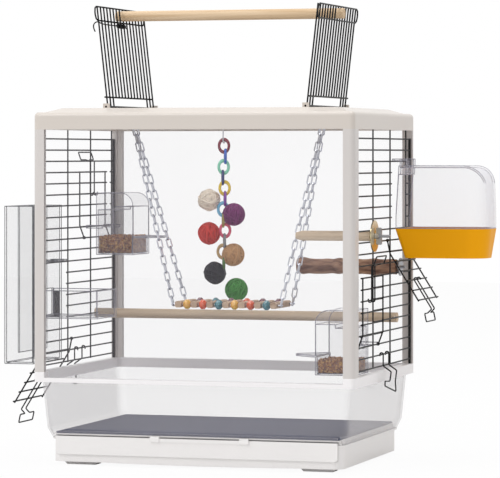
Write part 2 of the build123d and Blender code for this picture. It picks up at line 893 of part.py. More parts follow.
def make_bath_dome():
    low = bath_bottom + bath_base_height
    high = low + bath_dome_height
    half = bath_width / 2

    inner_half = half - bath_wall

    def filled(inset):
        x0 = bath_inner_x + inset
        x1 = bath_reach - inset
        z1 = high - inset
        feet = [(x1, low), (x1 - bath_inset, z1), (x0 + bath_inset, z1), (x0, low), (x1, low)]
        side = make_face(Polyline(*feet))
        side = fillet(side.vertices().sort_by(lambda v: v.X + v.Y)[-1], bath_shoulder - inset)
        solid = extrude(Plane.XZ.offset(-bath_middle - half) * side, 2 * half)
        plan = pan_section(low, bath_inner_x, bath_reach, inset)
        return solid & extrude(plan, bath_dome_height)

    shell = filled(0) - filled(bath_wall)
    mouth_top = high - 5 * bath_wall
    mouth = (bath_inner_x - bath_wall, bath_inner_x + 4 * bath_wall)
    shell -= block(mouth, (bath_middle - inner_half, bath_middle + inner_half), (low, mouth_top))
    hook_z = wire_height(upper_hinge_row + door_rows + 1) + wire_radius + face_gap
    inner_x = wire_plane - wire_radius - face_gap - bath_wall
    for y in (bath_middle - half / 2, bath_middle + half / 2):
        y_range = (y - 2 * bath_wall, y + 2 * bath_wall)
        shell += block((inner_x, bath_inner_x + 5 * bath_wall), y_range, (hook_z, hook_z + bath_wall))
        shell += block((inner_x, inner_x + bath_wall), y_range, (hook_z - bath_lip_drop, hook_z))
        upright = (bath_inner_x + bath_inset - bath_wall, bath_inner_x + 5 * bath_wall)
        shell += block(upright, y_range, (high - bath_wall, hook_z))
    return shell


# Hopper: a tall clear box outside the left lower opening with a tray that reaches inside
def make_hopper():
    half = hopper_width / 2
    x_range = (hopper_inner_x, hopper_reach)
    y_range = (hopper_middle - half, hopper_middle + half)
    top = hopper_bottom + hopper_height
    box = block(x_range, y_range, (hopper_bottom, top))
    wall = hopper_wall
    inner_x = (hopper_inner_x + wall, hopper_reach - wall)
    inner_y = (hopper_middle - half + wall, hopper_middle + half - wall)
    box -= block(inner_x, inner_y, (hopper_bottom + wall, top))
    middle_x = (hopper_inner_x + hopper_reach) / 2
    box += block((middle_x, middle_x + wall), inner_y, (hopper_bottom + 8 * wall, top))
    tray_half = hopper_tray_width / 2 - wall
    tray_y = (hopper_tray_middle - tray_half + wall, hopper_tray_middle + tray_half - wall)
    tray_z = (hopper_tray_bottom + wall, hopper_tray_bottom + hopper_tray_height)
    box -= block((hopper_inner_x - wall, hopper_inner_x + wall), tray_y, tray_z)
    rest_z = wire_height(lower_hinge_row + door_rows + 1) + wire_radius + face_gap
    rest_x = (wire_plane - 3 * wire_radius, hopper_inner_x)
    for y in (hopper_middle - half / 3, hopper_middle + half / 3):
        box += block(rest_x, (y - 3 * wall, y + 3 * wall), (rest_z, rest_z + wall))
    return to_left(box)


def make_hopper_tray():
    wall = hopper_wall
    half = hopper_tray_width / 2 - wall
    z_range = (hopper_tray_bottom, hopper_tray_bottom + hopper_tray_height)
    y_range = (hopper_tray_middle - half, hopper_tray_middle + half)
    tray = block((hopper_tray_end, hopper_inner_x), y_range, z_range)
    inner_y = (hopper_tray_middle - half + wall, hopper_tray_middle + half - wall)
    low = hopper_tray_bottom + wall
    tray -= block((hopper_tray_end + wall, hopper_inner_x), inner_y, (low, z_range[1]))
    return to_left(tray)


# Swing: slats and beads on two wires, hung by four chains from hooks in the roof opening
def make_swing_hooks():
    hooks = []
    end = swing_hook_x - 4 * swing_hook_radius
    z = swing_pivot_height
    for side in (-1, 1):
        wall = side * roof_opening_width / 2
        points = [(wall, 0, z), (side * end, 0, z), (side * end, 0, z + 6 * swing_hook_radius)]
        hooks.append(bent_wire(points, swing_hook_radius, swing_hook_radius * 2, 8))
    z = toy_hook_height
    rear = roof_opening_depth / 2
    points = [(toy_x, rear, z), (toy_x, toy_y - 3 * vine_radius / 2, z)]
    hooks.append(wire(*points, swing_hook_radius))
    return group(hooks)


def chain_link(length):
    """One chain link, lying flat along X."""
    outer = Rectangle(length + 2 * chain_wire, chain_link_width + 2 * chain_wire)
    outer = chamfer(outer.vertices(), chain_wire * 1.3)
    inner = Rectangle(length, chain_link_width)
    inner = chamfer(inner.vertices(), chain_wire * 0.8)
    return extrude(outer - inner, chain_wire / 2, both=True)


def make_chain(top, bottom):
    """A run of links, each turned a quarter against the next."""
    start = Vector(*top)
    run = Vector(*bottom) - start
    pitch = run.length / chain_links
    along = run.normalized()
    across = along.cross(Vector(0, 1, 0)).normalized()
    other = along.cross(across)
    link = chain_link(pitch + chain_clearance)
    links = []
    for index in range(chain_links):
        centre = start + along * (pitch * (index + 0.5))
        normal = across if index % 2 else other
        place = Plane(origin=centre, x_dir=along, z_dir=normal).location
        links.append(place * link)
    return links


def ring_middle():
    """Height of the rings that hang on the two roof hooks."""
    return swing_pivot_height + swing_hook_radius + face_gap - chain_ring_radius


def make_rings():
    rings = []
    for x in (-swing_hook_x, swing_hook_x):
        plane = Plane(origin=(x - chain_wire / 2, 0, ring_middle()), z_dir=(1, 0, 0))
        ring = Circle(chain_ring_radius + chain_wire) - Circle(chain_ring_radius)
        rings.append(extrude(plane * ring, chain_wire))
    return rings


def chain_ends():
    """Top and bottom of the four chains: over the rings and under the swing's wires."""
    ends = []
    drop = math.sqrt(chain_ring_radius**2 - (chain_ring_spread + chain_wire / 2) ** 2)
    top_z = ring_middle() - drop + chain_clearance + face_gap
    bottom_z = swing_height - swing_wire_radius - face_gap
    for side, corner in ((-1, swing_left), (1, swing_right)):
        for face in (-1, 1):
            top = (side * swing_hook_x, face * chain_ring_spread, top_z)
            bottom = (corner, face * swing_wire_spread / 2, bottom_z)
            ends.append((top, bottom))
    return ends


def make_swing_wires():
    wires = []
    for y in (-swing_wire_spread / 2, swing_wire_spread / 2):
        start = (swing_left - chain_wire * 2, y, swing_height)
        end = (swing_right + chain_wire * 2, y, swing_height)
        wires.append(wire(start, end, swing_wire_radius))
    return group(wires)


def column_x(index):
    """Middle of a bead column; slats stand half a step either side."""
    margin = slat_width
    step = (swing_right - swing_left - 2 * margin) / bead_count
    return swing_left + margin + step * (index + 0.5)


def make_slats():
    slats = []
    step = column_x(1) - column_x(0)
    half = swing_depth / 2
    for index in range(bead_count + 1):
        x = column_x(0) + (index - 0.5) * step
        x_range = (x - slat_width / 2, x + slat_width / 2)
        z_range = (swing_height - slat_thickness / 2, swing_height + slat_thickness / 2)
        slat = block(x_range, (-half, half), z_range)
        slat = chamfer(slat.edges().filter_by(Axis.Y), slat_width / 5)
        for y in (-swing_wire_spread / 2, swing_wire_spread / 2):
            start = (x - slat_width, y, swing_height)
            slat -= wire(start, (x + slat_width, y, swing_height), bead_hole)
        slats.append(slat)
    return group(slats)


def make_bead(x, y):
    """A bead on one of the swing's wires, cut with flats and tapered at both ends."""
    sections = []
    for share, size in ((-0.72, 0.6), (-0.3, 1.0), (0.3, 1.0), (0.72, 0.6)):
        plane = Plane(origin=(share * bead_radius, 0, 0), z_dir=(1, 0, 0))
        outline = RegularPolygon(size * bead_radius, bead_flats)
        sections.append((plane * outline).face())
    bead = loft(sections, ruled=True)
    bead -= wire((-bead_radius, 0, 0), (bead_radius, 0, 0), bead_hole)
    return Pos(x, y, swing_height) * bead


def bead_row(y, columns):
    return [make_bead(column_x(index), y) for index in columns]


# Toy: six wound vine balls on links that hang behind the swing
def vine_ball(x, z):
    """A wound ball, drawn with the flat facets that crossing strands leave."""
    sections = []
    for index in range(vine_bands + 1):
        angle = math.radians(180 * (index + 0.5) / (vine_bands + 1) - 90)
        plane = Plane(origin=(0, 0, vine_radius * math.sin(angle)), z_dir=(0, 0, 1))
        outline = RegularPolygon(vine_radius * math.cos(angle), vine_flats)
        sections.append((plane * outline).face())
    return Pos(toy_x + x, toy_y, z) * loft(sections, ruled=True)


def make_toy_links(ball_places):
    top = toy_hook_height - swing_hook_radius - toy_string_radius - face_gap + weld
    points = [(toy_x, top)] + [(toy_x + x, z) for x, z in ball_places]
    links = []
    for (x0, z0), (x1, z1) in zip(points, points[1:]):
        run = Vector(x1 - x0, 0, z1 - z0)
        along = run.normalized()
        start = Vector(x0, toy_y, z0)
        if links:
            start += along * vine_radius
        end = Vector(x1, toy_y, z1) - along * vine_radius
        if (end - start).dot(along) > 1:
            links.append(wire(tuple(start), tuple(end), toy_string_radius))
    eye_inner = swing_hook_radius + face_gap
    eye_middle = (toy_x, toy_y, toy_hook_height)
    eye = tube_along_y(eye_middle, 2 * toy_string_radius, eye_inner + toy_string_radius, eye_inner)
    return group([eye] + links)


roof_frame = make_roof()
corner_posts = group([make_post(side, face) for side in (-1, 1) for face in (-1, 1)])
base_rim = make_rim()
front_panel = make_sheet(-1, front_rim_top)
rear_panel = make_sheet(1, rim_top)
base_tub = make_tub()
plinth = make_plinth()
feet = make_feet()
drawer_front = make_drawer_front()
drawer_window = make_drawer_window()
drawer_tray = make_tray()
drawer_catches = make_drawer_catches()
tray_liner = make_liner()

right_wire_panel = make_wire_panel()
left_wire_panel = to_left(right_wire_panel)
upper_hinge = wire_height(upper_hinge_row)
lower_hinge = wire_height(lower_hinge_row)
upper_door = make_door(upper_door_front, upper_hinge_row)
lower_door = make_door(lower_door_front, lower_hinge_row)
upper_latch = make_door_latch(upper_door_front, upper_hinge_row)
lower_latch = make_door_latch(lower_door_front, lower_hinge_row)
upper_left_door = to_left(upper_door)
lower_right_door = lower_door
upper_right_door = turned(upper_door, wire_plane, upper_hinge, door_open_angle)
lower_left_door = to_left(turned(lower_door, wire_plane, lower_hinge, door_open_angle))
upper_left_latch = to_left(upper_latch)
lower_right_latch = lower_latch
upper_right_latch = turned(upper_latch, wire_plane, upper_hinge, door_open_angle)
lower_left_latch = to_left(turned(lower_latch, wire_plane, lower_hinge, door_open_angle))
right_base_latch = make_base_latch()
left_base_latch = to_left(right_base_latch)

roof_gate_right = make_gate()
roof_gate_left = to_left(roof_gate_right)
top_perch = make_top_perch()

long_perch = make_long_perch()
short_perch = make_short_perch()
short_perch_washer = make_washer(short_perch_y, short_perch_height, big_washer_radius)
short_perch_bolt = make_bolt(short_perch_y, short_perch_height, perch_bolt_length)
short_perch_wing_nut = make_wing_nut()
natural_perch = make_natural_perch()
natural_perch_washer = make_washer(natural_perch_y, natural_perch_height, small_washer_radius)
natural_perch_bolt = make_bolt(natural_perch_y, natural_perch_height, natural_bolt_length)

upper_left_feeder = to_left(make_feeder(upper_feeder_middle, upper_feeder_row))
lower_right_feeder = make_feeder(lower_feeder_middle, lower_feeder_row)
seed_fill = group(
    [
        to_left(make_seed(upper_feeder_middle, upper_feeder_row)),
        make_seed(lower_feeder_middle, lower_feeder_row),
    ]
)

bath_base = make_bath_base()
bath_dome = make_bath_dome()
hopper_box = make_hopper()
hopper_tray = make_hopper_tray()

roof_hooks = make_swing_hooks()
swing_wires = make_swing_wires()
swing_slats = make_slats()
chain_runs = make_rings()
for top, bottom in chain_ends():
    chain_runs.extend(make_chain(top, bottom))
swing_chains = group(chain_runs)
front_row = -swing_wire_spread / 2
rear_row = swing_wire_spread / 2
beads_yellow = group(bead_row(front_row, (0, 3)))
beads_orange = group(bead_row(front_row, (1, 4)) + bead_row(rear_row, (3,)))
beads_teal = group(bead_row(front_row, (2, 5)) + bead_row(rear_row, (1,)))
beads_dark = group(bead_row(rear_row, (0, 2, 4, 5)))

white_ball_place = (-23.0, 369.0)
purple_ball_place = (15.0, 348.0)
red_ball_place = (-23.0, 320.0)
tan_ball_place = (14.0, 289.0)
black_ball_place = (-14.0, 262.0)
green_ball_place = (19.0, 238.0)
white_vine_ball = vine_ball(*white_ball_place)
purple_vine_ball = vine_ball(*purple_ball_place)
red_vine_ball = vine_ball(*red_ball_place)
tan_vine_ball = vine_ball(*tan_ball_place)
black_vine_ball = vine_ball(*black_ball_place)
green_vine_ball = vine_ball(*green_ball_place)
ball_places = [
    white_ball_place,
    purple_ball_place,
    red_ball_place,
    tan_ball_place,
    black_ball_place,
    green_ball_place,
]
toy_links = make_toy_links(ball_places)

parts = {
    "roof_frame": roof_frame,
    "corner_posts": corner_posts,
    "base_rim": base_rim,
    "front_panel": front_panel,
    "rear_panel": rear_panel,
    "base_tub": base_tub,
    "plinth": plinth,
    "feet": feet,
    "drawer_front": drawer_front,
    "drawer_window": drawer_window,
    "drawer_tray": drawer_tray,
    "drawer_catches": drawer_catches,
    "tray_liner": tray_liner,
    "right_wire_panel": right_wire_panel,
    "left_wire_panel": left_wire_panel,
    "upper_left_door": upper_left_door,
    "upper_right_door": upper_right_door,
    "lower_left_door": lower_left_door,
    "lower_right_door": lower_right_door,
    "upper_left_latch": upper_left_latch,
    "upper_right_latch": upper_right_latch,
    "lower_left_latch": lower_left_latch,
    "lower_right_latch": lower_right_latch,
    "right_base_latch": right_base_latch,
    "left_base_latch": left_base_latch,
    "roof_gate_left": roof_gate_left,
    "roof_gate_right": roof_gate_right,
    "top_perch": top_perch,
    "long_perch": long_perch,
    "short_perch": short_perch,
    "short_perch_washer": short_perch_washer,
    "short_perch_bolt": short_perch_bolt,
    "short_perch_wing_nut": short_perch_wing_nut,
    "natural_perch": natural_perch,
    "natural_perch_washer": natural_perch_washer,
    "natural_perch_bolt": natural_perch_bolt,
    "upper_left_feeder": upper_left_feeder,
    "lower_right_feeder": lower_right_feeder,
    "seed_fill": seed_fill,
    "bath_base": bath_base,
    "bath_dome": bath_dome,
    "hopper_box": hopper_box,
    "hopper_tray": hopper_tray,
    "roof_hooks": roof_hooks,
    "swing_wires": swing_wires,
    "swing_slats": swing_slats,
    "swing_chains": swing_chains,
    "beads_yellow": beads_yellow,
    "beads_orange": beads_orange,
    "beads_teal": beads_teal,
    "beads_dark": beads_dark,
    "toy_links": toy_links,
    "white_vine_ball": white_vine_ball,
    "purple_vine_ball": purple_vine_ball,
    "red_vine_ball": red_vine_ball,
    "tan_vine_ball": tan_vine_ball,
    "black_vine_ball": black_vine_ball,
    "green_vine_ball": green_vine_ball,
}

# The bath reaches further out than the hopper, so the whole part moves left by half
# the difference, which puts the origin under the middle of its outer box.
to_origin = Pos((hopper_reach - bath_reach) / 2, 0, 0)
os.makedirs("parts", exist_ok=True)
for name, shape in parts.items():
    export_step(to_origin * shape, os.path.join("parts", name + ".step"))
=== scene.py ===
# %% [markdown]
# # A small-bird cage
# The cage is a white moulded roof and rim on four posts, with clear sheets in front and
# behind, black wire panels at the sides, and a clear tub over a pull-out tray. Inside are
# perches, seed cups, a chain swing and a toy of vine balls. The measured model is loaded
# first, and every finish and every added piece is placed from it.

# %% Load the measured model
import bmesh
import bpy
import math
import random
from mathutils import Euler, Matrix, Vector, noise


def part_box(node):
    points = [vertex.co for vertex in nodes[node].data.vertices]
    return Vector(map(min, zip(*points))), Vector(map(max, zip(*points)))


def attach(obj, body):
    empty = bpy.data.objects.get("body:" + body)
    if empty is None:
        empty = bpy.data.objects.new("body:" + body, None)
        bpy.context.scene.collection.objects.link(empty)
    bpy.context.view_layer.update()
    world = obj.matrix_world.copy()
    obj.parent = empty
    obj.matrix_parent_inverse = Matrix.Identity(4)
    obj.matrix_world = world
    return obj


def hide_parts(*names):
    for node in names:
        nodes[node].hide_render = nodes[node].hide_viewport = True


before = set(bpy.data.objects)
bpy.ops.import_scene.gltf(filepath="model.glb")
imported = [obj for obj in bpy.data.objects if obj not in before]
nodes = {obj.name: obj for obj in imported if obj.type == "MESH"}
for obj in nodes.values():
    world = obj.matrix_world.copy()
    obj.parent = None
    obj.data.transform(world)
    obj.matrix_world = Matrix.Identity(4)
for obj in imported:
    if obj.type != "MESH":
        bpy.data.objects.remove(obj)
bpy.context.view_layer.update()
roof_low, roof_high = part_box("roof_frame")
side_shift = (roof_low.x + roof_high.x) / 2

# %% [markdown]
# ## Camera
# The photograph was taken from the right of the front with a long lens, its horizon above
# the middle of the picture. A level camera with a downward shift keeps the posts upright,
# as they are in the photograph.

# %% Camera
camera_data = bpy.data.cameras.new("cage_camera")
camera_data.lens = 220.6
camera_data.sensor_width = 36.0
camera_data.shift_y = -0.1696
camera_data.clip_end = 50.0
camera = bpy.data.objects.new("cage_camera", camera_data)
camera.location = (1.3187 + side_shift, -4.186, 0.4362)
camera.rotation_euler = (math.radians(90), 0, math.radians(17.07))
bpy.context.collection.objects.link(camera)
bpy.context.scene.camera = camera
bpy.context.scene.view_settings.view_transform = "Standard"
print("camera", tuple(camera.location))

# %% [markdown]
# ## Light and floor
# A product photograph on white paper has light from everywhere and broad lamps from the
# upper left and above. The world gives the even light, and shows as plain white to the camera
# and in reflections. The floor is mostly white to the camera, and keeps a faint shadow.


# %% World
def larger(tree, first, second):
    """The larger of two values, as an output socket."""
    node = tree.nodes.new("ShaderNodeMath")
    node.operation = "MAXIMUM"
    tree.links.new(first, node.inputs[0])
    tree.links.new(second, node.inputs[1])
    return node.outputs[0]


room_light = 0.66
world = bpy.data.worlds.new("white_room")
bpy.context.scene.world = world
world.use_nodes = True
tree = world.node_tree
tree.nodes.clear()
path = tree.nodes.new("ShaderNodeLightPath")
through = larger(tree, path.outputs["Is Transmission Ray"], path.outputs["Is Glossy Ray"])
seen = larger(tree, path.outputs["Is Camera Ray"], through)
lit = tree.nodes.new("ShaderNodeBackground")
lit.inputs["Color"].default_value = (1.0, 0.99, 0.985, 1)
lit.inputs["Strength"].default_value = room_light
white = tree.nodes.new("ShaderNodeBackground")
white.inputs["Color"].default_value = (1, 1, 1, 1)
white.inputs["Strength"].default_value = 1.0
blend = tree.nodes.new("ShaderNodeMixShader")
tree.links.new(seen, blend.inputs["Fac"])
tree.links.new(lit.outputs[0], blend.inputs[1])
tree.links.new(white.outputs[0], blend.inputs[2])
room = tree.nodes.new("ShaderNodeOutputWorld")
tree.links.new(blend.outputs[0], room.inputs["Surface"])


# %% Lamps
def soft_lamp(name, place, aim, size, power):
    """A broad square lamp that points at a place on the cage."""
    data = bpy.data.lights.new(name, "AREA")
    data.size = size
    data.energy = power
    lamp = bpy.data.objects.new(name, data)
    lamp.location = place
    lamp.rotation_euler = (Vector(aim) - Vector(place)).to_track_quat("-Z", "Y").to_euler()
    bpy.context.collection.objects.link(lamp)
    return lamp


soft_lamp("key_lamp", (-1.6, -2.4, 2.6), (0, 0, 0.3), 1.8, 35)
soft_lamp("top_lamp", (0.1, 0.2, 3.0), (0, 0, 0.4), 2.0, 36)


# %% Floor
def new_object(name, mesh):
    """Link a finished mesh as an object at the origin."""
    obj = bpy.data.objects.new(name, mesh)
    bpy.context.collection.objects.link(obj)
    return obj


def mesh_from(name, shape):
    """Turn a bmesh into a mesh with smooth faces pointing outwards."""
    bmesh.ops.recalc_face_normals(shape, faces=shape.faces)
    for face in shape.faces:
        face.smooth = True
    mesh = bpy.data.meshes.new(name)
    shape.to_mesh(mesh)
    shape.free()
    return mesh


floor_reach = 6.0
floor_glow = 0.95
ground = bmesh.new()
bmesh.ops.create_grid(ground, x_segments=2, y_segments=2, size=floor_reach)
floor = new_object("floor", mesh_from("floor", ground))
floor_paper = bpy.data.materials.new("floor_paper")
floor_paper.use_nodes = True
tree = floor_paper.node_tree
tree.nodes.clear()
path = tree.nodes.new("ShaderNodeLightPath")
matt = tree.nodes.new("ShaderNodeBsdfDiffuse")
matt.inputs["Color"].default_value = (0.86, 0.86, 0.86, 1)
glow = tree.nodes.new("ShaderNodeEmission")
glow.inputs["Color"].default_value = (1, 1, 1, 1)
glow.inputs["Strength"].default_value = 1.0
share = tree.nodes.new("ShaderNodeMath")
share.operation = "MULTIPLY"
share.inputs[1].default_value = floor_glow
looks = larger(tree, path.outputs["Is Camera Ray"], path.outputs["Is Transmission Ray"])
tree.links.new(looks, share.inputs[0])
mixed = tree.nodes.new("ShaderNodeMixShader")
tree.links.new(share.outputs[0], mixed.inputs["Fac"])
tree.links.new(matt.outputs[0], mixed.inputs[1])
tree.links.new(glow.outputs[0], mixed.inputs[2])
out = tree.nodes.new("ShaderNodeOutputMaterial")
tree.links.new(mixed.outputs[0], out.inputs["Surface"])
floor.data.materials.append(floor_paper)
print("floor ready")

# %% [markdown]
# ## Shared surface effects
# Moulded plastic is never one flat colour: it varies slightly, and its gloss breaks up in
# faint patches. Wood has grain along the stick. Each effect is a node group with named
# sockets, built once and used by several materials with their own values.


# %% Node group helpers
def new_group(name, inputs, outputs):
    """A shader node group with named sockets and its two end nodes."""
    group = bpy.data.node_groups.new(name, "ShaderNodeTree")
    for label, kind, value in inputs:
        socket = group.interface.new_socket(name=label, in_out="INPUT", socket_type=kind)
        socket.default_value = value
    for label, kind in outputs:
        group.interface.new_socket(name=label, in_out="OUTPUT", socket_type=kind)
    start = group.nodes.new("NodeGroupInput")
    end = group.nodes.new("NodeGroupOutput")
    return group, start, end


def moulded_surface_group():
    """Slight colour drift, patchy gloss and a fine mould texture."""
    group, start, end = new_group(
        "moulded_surface",
        [
            ("Colour", "NodeSocketColor", (0.8, 0.8, 0.8, 1)),
            ("Drift", "NodeSocketFloat", 0.05),
            ("Roughness", "NodeSocketFloat", 0.35),
            ("Bump", "NodeSocketFloat", 0.02),
            ("Scale", "NodeSocketFloat", 60.0),
        ],
        [
            ("Colour", "NodeSocketColor"),
            ("Roughness", "NodeSocketFloat"),
            ("Normal", "NodeSocketVector"),
        ],
    )
    add = group.nodes.new
    link = group.links.new
    place = add("ShaderNodeTexCoord")
    broad = add("ShaderNodeTexNoise")
    broad.inputs["Scale"].default_value = 9.0
    broad.inputs["Detail"].default_value = 3.0
    link(place.outputs["Object"], broad.inputs["Vector"])
    fine = add("ShaderNodeTexNoise")
    fine.inputs["Detail"].default_value = 4.0
    link(place.outputs["Object"], fine.inputs["Vector"])
    link(start.outputs["Scale"], fine.inputs["Scale"])
    centred = add("ShaderNodeMath")
    centred.operation = "SUBTRACT"
    centred.inputs[1].default_value = 0.5
    link(broad.outputs["Fac"], centred.inputs[0])
    drift = add("ShaderNodeMath")
    drift.operation = "MULTIPLY_ADD"
    drift.inputs[2].default_value = 1.0
    link(centred.outputs[0], drift.inputs[0])
    link(start.outputs["Drift"], drift.inputs[1])
    shade = add("ShaderNodeHueSaturation")
    link(drift.outputs[0], shade.inputs["Value"])
    link(start.outputs["Colour"], shade.inputs["Color"])
    link(shade.outputs["Color"], end.inputs["Colour"])
    gloss = add("ShaderNodeMath")
    gloss.operation = "MULTIPLY_ADD"
    gloss.inputs[1].default_value = 0.12
    link(centred.outputs[0], gloss.inputs[0])
    link(start.outputs["Roughness"], gloss.inputs[2])
    link(gloss.outputs[0], end.inputs["Roughness"])
    bump = add("ShaderNodeBump")
    bump.inputs["Distance"].default_value = 0.001
    link(fine.outputs["Fac"], bump.inputs["Height"])
    link(start.outputs["Bump"], bump.inputs["Strength"])
    link(bump.outputs["Normal"], end.inputs["Normal"])
    return group


def wood_grain_group():
    """Long streaks along X, pores and slow colour change."""
    group, start, end = new_group(
        "wood_grain",
        [
            ("Light", "NodeSocketColor", (0.6, 0.45, 0.3, 1)),
            ("Dark", "NodeSocketColor", (0.4, 0.28, 0.16, 1)),
            ("Length", "NodeSocketFloat", 4.0),
            ("Fineness", "NodeSocketFloat", 160.0),
            ("Bump", "NodeSocketFloat", 0.15),
        ],
        [
            ("Colour", "NodeSocketColor"),
            ("Roughness", "NodeSocketFloat"),
            ("Normal", "NodeSocketVector"),
        ],
    )
    add = group.nodes.new
    link = group.links.new
    place = add("ShaderNodeTexCoord")
    split = add("ShaderNodeSeparateXYZ")
    link(place.outputs["Object"], split.inputs[0])
    scaled = []
    for axis, source in (("X", "Length"), ("Y", "Fineness"), ("Z", "Fineness")):
        times = add("ShaderNodeMath")
        times.operation = "MULTIPLY"
        link(split.outputs[axis], times.inputs[0])
        link(start.outputs[source], times.inputs[1])
        scaled.append(times)
    joined = add("ShaderNodeCombineXYZ")
    for index, times in enumerate(scaled):
        link(times.outputs[0], joined.inputs[index])
    streak = add("ShaderNodeTexNoise")
    streak.inputs["Scale"].default_value = 1.0
    streak.inputs["Detail"].default_value = 5.0
    streak.inputs["Distortion"].default_value = 0.4
    link(joined.outputs[0], streak.inputs["Vector"])
    contrast = add("ShaderNodeMapRange")
    contrast.inputs["From Min"].default_value = 0.3
    contrast.inputs["From Max"].default_value = 0.7
    link(streak.outputs["Fac"], contrast.inputs["Value"])
    colour = add("ShaderNodeMix")
    colour.data_type = "RGBA"
    link(contrast.outputs["Result"], colour.inputs["Factor"])
    link(start.outputs["Dark"], colour.inputs[6])
    link(start.outputs["Light"], colour.inputs[7])
    link(colour.outputs[2], end.inputs["Colour"])
    rough = add("ShaderNodeMapRange")
    rough.inputs["To Min"].default_value = 0.7
    rough.inputs["To Max"].default_value = 0.5
    link(streak.outputs["Fac"], rough.inputs["Value"])
    link(rough.outputs["Result"], end.inputs["Roughness"])
    bump = add("ShaderNodeBump")
    bump.inputs["Distance"].default_value = 0.001
    link(streak.outputs["Fac"], bump.inputs["Height"])
    link(start.outputs["Bump"], bump.inputs["Strength"])
    link(bump.outputs["Normal"], end.inputs["Normal"])
    return group


moulded_surface = moulded_surface_group()
wood_grain = wood_grain_group()
print("groups ready")


# %% [markdown]
# ## Materials
# Colours are written as the eye reads them on a screen, from 0 to 255, and turned into the
# linear values that the shader wants. Solid plastics, painted wire and metal all use the
# moulded surface group; clear plastic is thin sheet, so it is mostly see-through straight
# on and greyer where it is seen along its surface.


# %% Material helpers
def colour(red, green, blue):
    """A screen colour as the shader's linear values."""
    linear = []
    for part in (red, green, blue):
        share = part / 255.0
        linear.append(share / 12.92 if share <= 0.04045 else ((share + 0.055) / 1.055) ** 2.4)
    return (*linear, 1.0)


def new_material(name):
    """An empty node material with a Principled shader."""
    material = bpy.data.materials.new(name)
    material.use_nodes = True
    shader = material.node_tree.nodes["Principled BSDF"]
    return material, material.node_tree, shader


def add_surface(tree, shader, group, values):
    """Run a shared surface group into a shader's colour, roughness and normal."""
    surface = tree.nodes.new("ShaderNodeGroup")
    surface.node_tree = group
    for label, value in values.items():
        surface.inputs[label].default_value = value
    tree.links.new(surface.outputs["Colour"], shader.inputs["Base Color"])
    tree.links.new(surface.outputs["Roughness"], shader.inputs["Roughness"])
    tree.links.new(surface.outputs["Normal"], shader.inputs["Normal"])


def moulded(
    name, base, roughness, drift=0.06, bump=0.03, scale=60.0, metallic=0.0, coat=0.0, shine=0.5
):
    """A solid finish: plastic, paint or metal. A low shine keeps deep colours deep."""
    material, tree, shader = new_material(name)
    values = {
        "Colour": base,
        "Drift": drift,
        "Roughness": roughness,
        "Bump": bump,
        "Scale": scale,
    }
    add_surface(tree, shader, moulded_surface, values)
    shader.inputs["Metallic"].default_value = metallic
    shader.inputs["Coat Weight"].default_value = coat
    shader.inputs["Specular IOR Level"].default_value = shine
    return material


def clear_sheet(name, tint, face, edge, roughness=0.06):
    """Thin clear plastic: how solid it looks straight on and along its surface."""
    material, tree, shader = new_material(name)
    values = {"Colour": tint, "Drift": 0.04, "Roughness": roughness, "Bump": 0.01}
    add_surface(tree, shader, moulded_surface, values)
    grazing = tree.nodes.new("ShaderNodeLayerWeight")
    grazing.inputs["Blend"].default_value = 0.25
    solid = tree.nodes.new("ShaderNodeMapRange")
    solid.inputs["To Min"].default_value = face
    solid.inputs["To Max"].default_value = edge
    tree.links.new(grazing.outputs["Facing"], solid.inputs["Value"])
    tree.links.new(solid.outputs["Result"], shader.inputs["Alpha"])
    return material


def wooden(name, light, dark, length=4.0, fineness=160.0, bump=0.15):
    """Bare wood with its grain along the stick."""
    material, tree, shader = new_material(name)
    values = {
        "Light": light,
        "Dark": dark,
        "Length": length,
        "Fineness": fineness,
        "Bump": bump,
    }
    add_surface(tree, shader, wood_grain, values)
    return material


def finish(material, *names):
    """Give a material to measured nodes."""
    for name in names:
        obj = nodes[name]
        obj.data.materials.clear()
        obj.data.materials.append(material)


# %% Plastic, wire and metal finishes
cream_plastic = moulded("cream_plastic", colour(214, 206, 198), 0.32, 0.05, 0.03, 90.0, coat=0.1)
post_plastic = moulded("post_plastic", colour(214, 209, 206), 0.36, 0.06, 0.03, 90.0)
# The rim is the roof's white plastic with a lighter colour of its own: a painted highlight.
rim_plastic_painted_highlight = moulded("rim_plastic_painted_highlight", colour(248, 246, 247), 0.34, 0.05, 0.03, 80.0, coat=0.1)
milky_plastic = moulded("milky_plastic", colour(246, 244, 243), 0.3, 0.05, 0.03, 70.0, coat=0.1)
yellow_plastic = moulded("yellow_plastic", colour(250, 172, 0), 0.4, 0.1, 0.03, 50.0, shine=0.12)
black_wire = moulded("black_wire", colour(14, 14, 16), 0.45, 0.3, 0.05, 300.0, shine=0.22)
slate_liner = moulded("slate_liner", colour(100, 103, 122), 0.72, 0.16, 0.25, 400.0, shine=0.2)
brass_metal = moulded("brass_metal", colour(228, 212, 170), 0.3, 0.12, 0.04, 240.0, metallic=1.0)
zinc_metal = moulded("zinc_metal", colour(176, 176, 180), 0.3, 0.15, 0.05, 260.0, metallic=1.0)
nickel_metal = moulded("nickel_metal", colour(196, 198, 206), 0.28, 0.2, 0.04, 300.0, metallic=1.0)
finish(cream_plastic, "roof_frame")
finish(rim_plastic_painted_highlight, "base_rim")
finish(post_plastic, "corner_posts")
finish(milky_plastic, "plinth", "feet", "drawer_front", "drawer_tray", "drawer_catches")
finish(yellow_plastic, "bath_base")
finish(slate_liner, "tray_liner")
finish(brass_metal, "short_perch_washer")
finish(zinc_metal, "natural_perch_washer", "natural_perch_bolt")
finish(zinc_metal, "short_perch_bolt", "short_perch_wing_nut")
finish(nickel_metal, "swing_wires", "swing_chains", "roof_hooks")
wire_nodes = [
    "right_wire_panel",
    "left_wire_panel",
    "roof_gate_left",
    "roof_gate_right",
    "right_base_latch",
    "left_base_latch",
]
for level in ("upper", "lower"):
    for side in ("left", "right"):
        wire_nodes += [f"{level}_{side}_door", f"{level}_{side}_latch"]
finish(black_wire, *wire_nodes)
